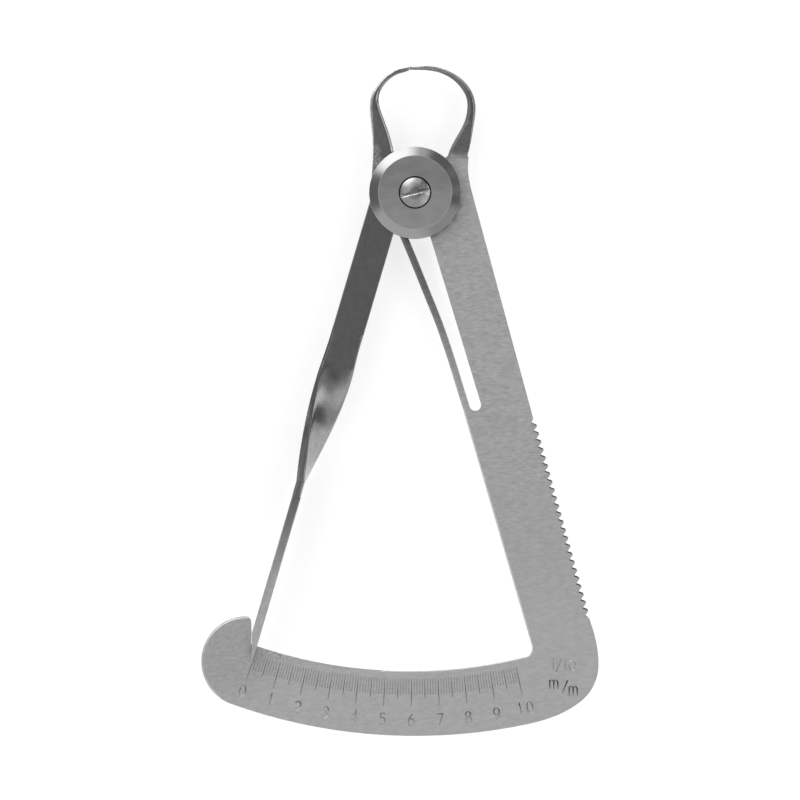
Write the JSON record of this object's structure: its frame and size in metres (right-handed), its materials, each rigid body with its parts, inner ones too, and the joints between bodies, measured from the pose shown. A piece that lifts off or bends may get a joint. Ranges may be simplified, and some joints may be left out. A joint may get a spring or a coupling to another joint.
{
  "type": "decimal spring caliper",
  "caption": "Steel spring caliper: two arms on a pivot, bowed measuring jaws at one end, a twisted pointer over a graduated sector at the other, with a leaf spring between.",
  "frame": {"origin": "on the pivot's axis, at the flat back of the rear nut and the screw's end", "axes": "+Z along the pivot towards the graduated face, +Y along the length towards the jaws, +X across the sector towards the arm with the thumb serration"},
  "size_m": [0.0593, 0.0999, 0.0068],
  "materials": {
    "plate_steel": "fine brushed, with engraved graduations",
    "spring_steel": "sawn and dressed edge",
    "arm_steel": "satin, ground at the jaws",
    "inner_steel": "turned",
    "disc_steel": "satin turned, polished bevel",
    "screw_steel": "polished dome"
  },
  "bodies": {
    "frame": {"frame_plate": "plate_steel", "leaf_spring": "spring_steel", "friction_washer": "inner_steel", "pivot_bush": "inner_steel", "front_disc": "disc_steel", "rear_nut": "disc_steel", "pivot_screw": "screw_steel"},
    "pointer": {"pointer_arm": "arm_steel", "spring_stud": "arm_steel"}
  },
  "joints": [
    {"name": "pointer_swing", "type": "hinge", "parent": "frame", "child": "pointer", "pos_m": [0, 0, 0.00392], "axis": [0, 0, 1], "range_deg": [0, 31.13], "stiffness_Nm_per_rad": 0.12, "springref_deg": -5.73, "deforming": ["leaf_spring"]}
  ]
}
